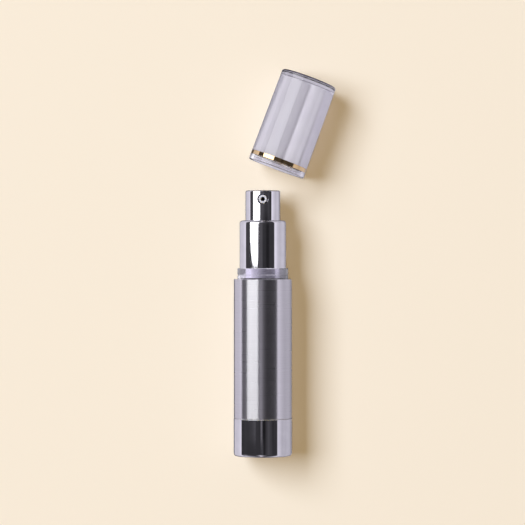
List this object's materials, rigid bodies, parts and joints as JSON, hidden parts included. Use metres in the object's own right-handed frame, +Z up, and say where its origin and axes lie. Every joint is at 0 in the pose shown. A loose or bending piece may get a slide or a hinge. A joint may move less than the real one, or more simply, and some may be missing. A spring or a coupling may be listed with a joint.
{
  "type": "airless pump bottle",
  "caption": "Slim round airless pump bottle lying on its back: a sprung pump head draws product up from an inner bottle with a rising follower, and its banded cap lies off beside it.",
  "frame": {"origin": "centre of the flat bottom face of the base, on the bottle's own axis", "axes": "+Y along the bottle's axis from the base to the actuator; +Z up from the table that the bottle lies on, the way the nozzle faces; the table is 11 mm below the origin"},
  "size_m": [0.0385, 0.1466, 0.022],
  "materials": {
    "polished_aluminium": "polished",
    "brushed_aluminium": "satin",
    "clear_acrylic": "gloss",
    "pearl_plastic": "satin",
    "gold_band": "polished",
    "silver_plastic": "gloss",
    "white_plastic": "satin",
    "natural_plastic": "satin",
    "soft_plastic": "matte",
    "foam_gasket": "matte",
    "stainless_steel": "polished"
  },
  "bodies": {
    "bottle": {"base_shell": "polished_aluminium", "base_core": "white_plastic", "bottom_plug": "white_plastic", "outer_sleeve": "brushed_aluminium", "inner_bottle": "natural_plastic", "shoulder_ring": "clear_acrylic", "collar_shell": "polished_aluminium", "collar_core": "white_plastic", "neck_gasket": "foam_gasket", "pump_barrel": "natural_plastic", "valve_cage": "white_plastic", "return_spring": "stainless_steel", "stem_retainer": "white_plastic"},
    "pump_rod": {"stem": "white_plastic", "pump_piston": "soft_plastic"},
    "actuator": {"actuator_shell": "polished_aluminium", "actuator_core": "white_plastic", "nozzle_insert": "silver_plastic"},
    "follower": {"follower_piston": "soft_plastic"},
    "inlet_valve": {"inlet_ball": "stainless_steel"},
    "cap": {"cap_shell": "clear_acrylic", "cap_liner": "pearl_plastic", "cap_band": "gold_band"}
  },
  "joints": [
    {"name": "pump_press", "type": "slide", "parent": "bottle", "child": "pump_rod", "axis": [0, -1, 0], "range_m": [0, 0.0045], "stiffness_N_per_m": 1200, "deforming": ["return_spring"]},
    {"name": "actuator_spin", "type": "hinge", "parent": "pump_rod", "child": "actuator", "pos_m": [0, 0.0972, 0], "axis": [0, 1, 0], "continuous": true},
    {"name": "follower_rise", "type": "slide", "parent": "bottle", "child": "follower", "axis": [0, 1, 0], "range_m": [0, 0.0486]},
    {"name": "inlet_lift", "type": "slide", "parent": "bottle", "child": "inlet_valve", "axis": [0, 1, 0], "range_m": [0, 0.0006]},
    {"name": "cap_draw", "type": "slide", "parent": "bottle", "child": "cap", "axis": [0.3469, 0.9379, 0], "range_m": [-0.01, 0.0236]}
  ]
}
